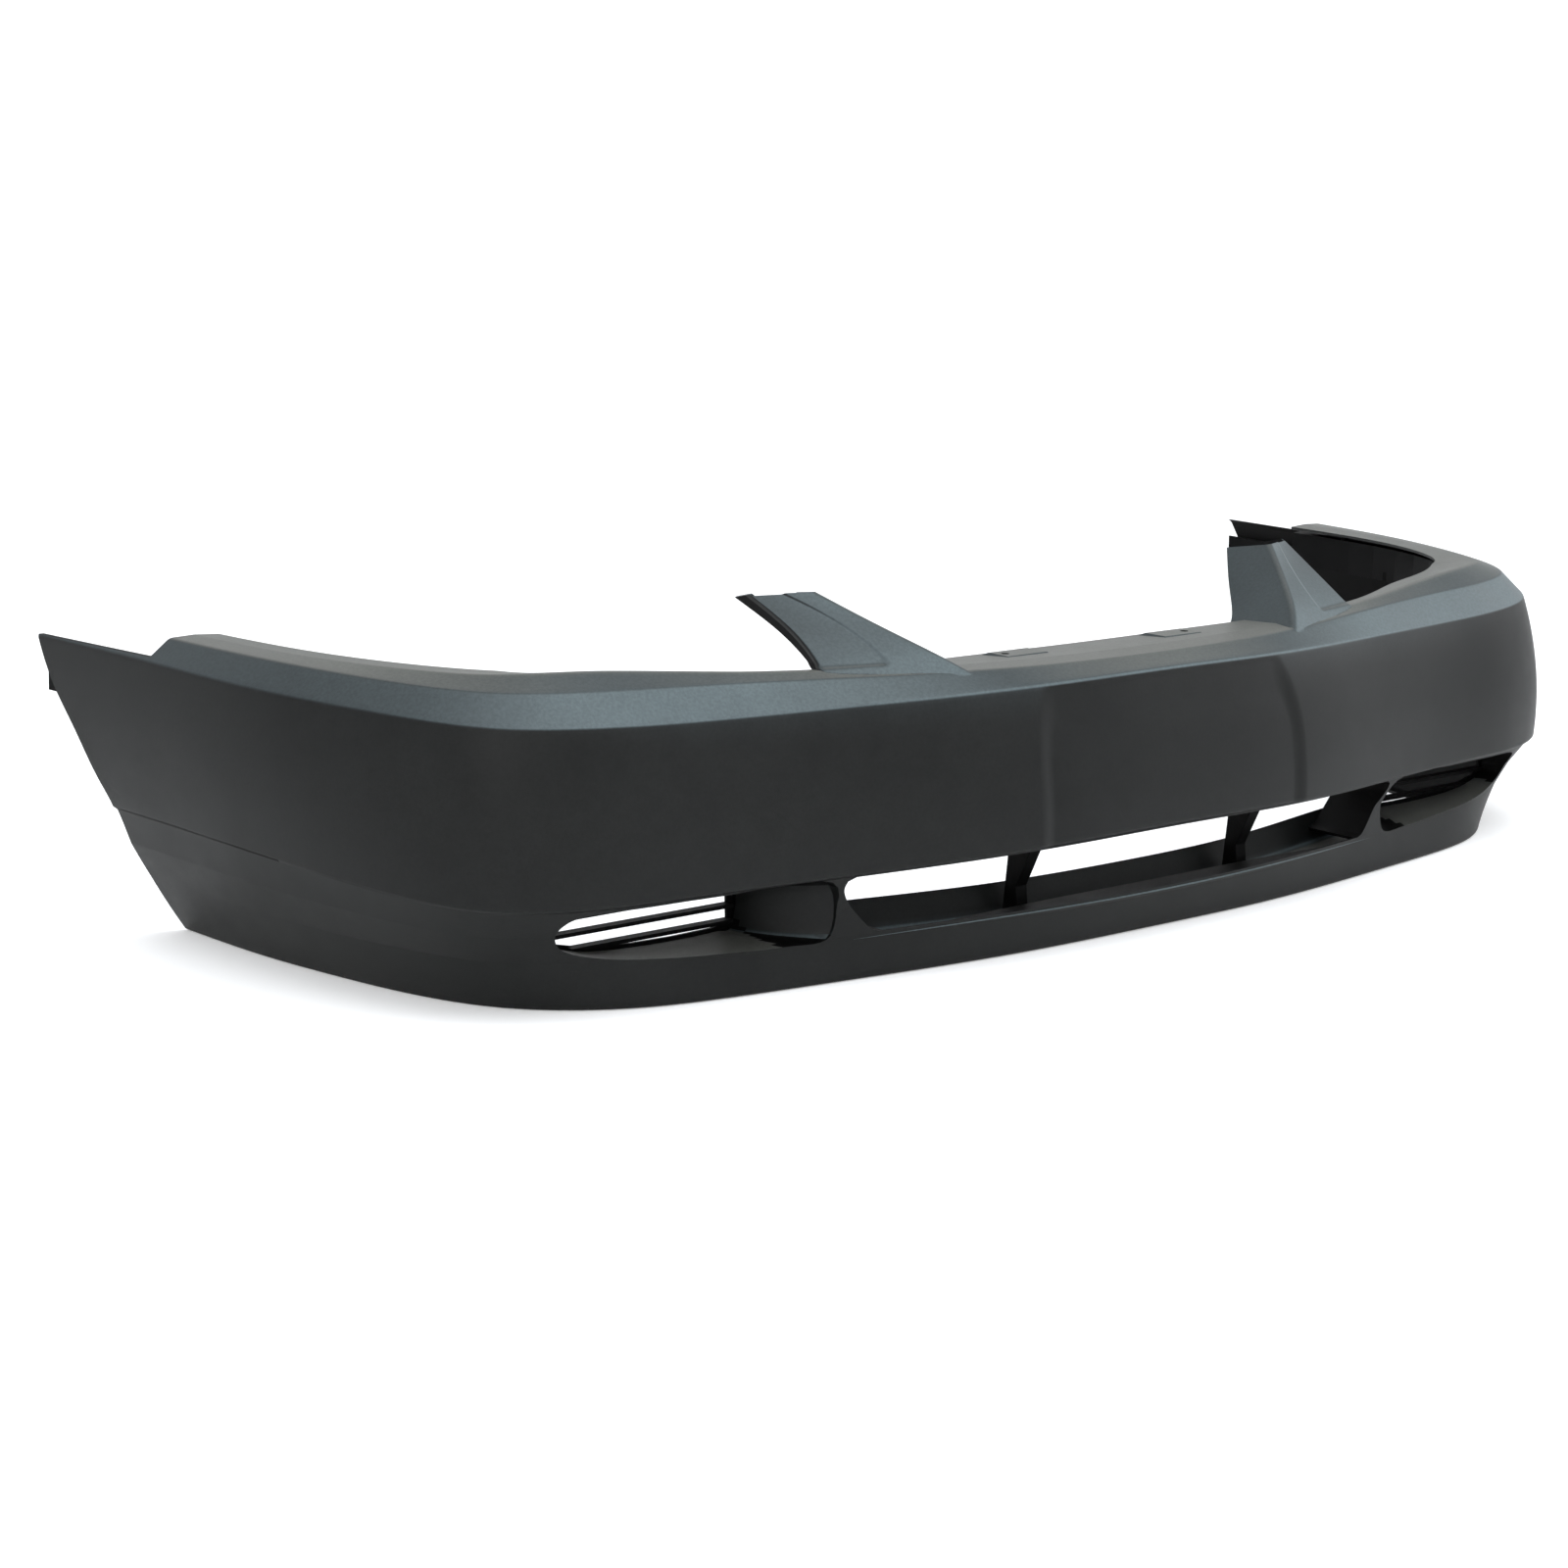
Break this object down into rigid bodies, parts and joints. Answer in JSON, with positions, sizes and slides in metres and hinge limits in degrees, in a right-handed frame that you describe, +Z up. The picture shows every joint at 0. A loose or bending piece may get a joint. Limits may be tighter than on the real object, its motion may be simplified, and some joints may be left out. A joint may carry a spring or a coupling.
{
  "type": "bumper cover",
  "caption": "Wrap-around front bumper cover with headlamp and grille openings, a lower mouth with struts, and side pockets closed by louvre inserts.",
  "frame": {"origin": "middle of the bounding box in plan, at the underside of the lip", "axes": "+X to the car's left, -Y towards the front of the car, +Z up"},
  "size_m": [1.8316, 0.7718, 0.37],
  "materials": {
    "cover_plastic": "fine-grained unpainted matt moulding",
    "black_plastic": "matt black moulding",
    "nylon_black": "smooth black nylon",
    "zinc_steel": "zinc-plated"
  },
  "bodies": {
    "cover": {"cover_shell": "cover_plastic", "fender_bracket_left": "black_plastic", "fender_bracket_right": "black_plastic", "fender_screw_left_1": "zinc_steel", "fender_screw_left_2": "zinc_steel", "fender_screw_right_1": "zinc_steel", "fender_screw_right_2": "zinc_steel", "headlamp_bracket_left": "black_plastic", "headlamp_bracket_right": "black_plastic", "lamp_screw_left_1": "zinc_steel", "lamp_screw_left_2": "zinc_steel", "lamp_screw_left_3": "zinc_steel", "lamp_screw_right_1": "zinc_steel", "lamp_screw_right_2": "zinc_steel", "lamp_screw_right_3": "zinc_steel", "louver_insert_left": "black_plastic", "louver_insert_right": "black_plastic", "rivet_body_left_1": "nylon_black", "rivet_body_left_2": "nylon_black", "rivet_body_left_3": "nylon_black", "rivet_body_right_1": "nylon_black", "rivet_body_right_2": "nylon_black", "rivet_body_right_3": "nylon_black", "strut_screw_left_1": "zinc_steel", "strut_screw_left_2": "zinc_steel", "strut_screw_right_1": "zinc_steel", "strut_screw_right_2": "zinc_steel", "support_strut_left": "black_plastic", "support_strut_right": "black_plastic"},
    "pin_left_1": {"rivet_pin_left_1": "nylon_black"},
    "pin_left_2": {"rivet_pin_left_2": "nylon_black"},
    "pin_left_3": {"rivet_pin_left_3": "nylon_black"},
    "pin_right_1": {"rivet_pin_right_1": "nylon_black"},
    "pin_right_2": {"rivet_pin_right_2": "nylon_black"},
    "pin_right_3": {"rivet_pin_right_3": "nylon_black"}
  },
  "joints": [
    {"name": "pin_left_1_pull", "type": "slide", "parent": "cover", "child": "pin_left_1", "axis": [0, 1, 0], "range_m": [0, 0.006]},
    {"name": "pin_left_2_pull", "type": "slide", "parent": "cover", "child": "pin_left_2", "axis": [0, 1, 0], "range_m": [0, 0.006]},
    {"name": "pin_left_3_pull", "type": "slide", "parent": "cover", "child": "pin_left_3", "axis": [0, 1, 0], "range_m": [0, 0.006]},
    {"name": "pin_right_1_pull", "type": "slide", "parent": "cover", "child": "pin_right_1", "axis": [0, 1, 0], "range_m": [0, 0.006]},
    {"name": "pin_right_2_pull", "type": "slide", "parent": "cover", "child": "pin_right_2", "axis": [0, 1, 0], "range_m": [0, 0.006]},
    {"name": "pin_right_3_pull", "type": "slide", "parent": "cover", "child": "pin_right_3", "axis": [0, 1, 0], "range_m": [0, 0.006]}
  ]
}
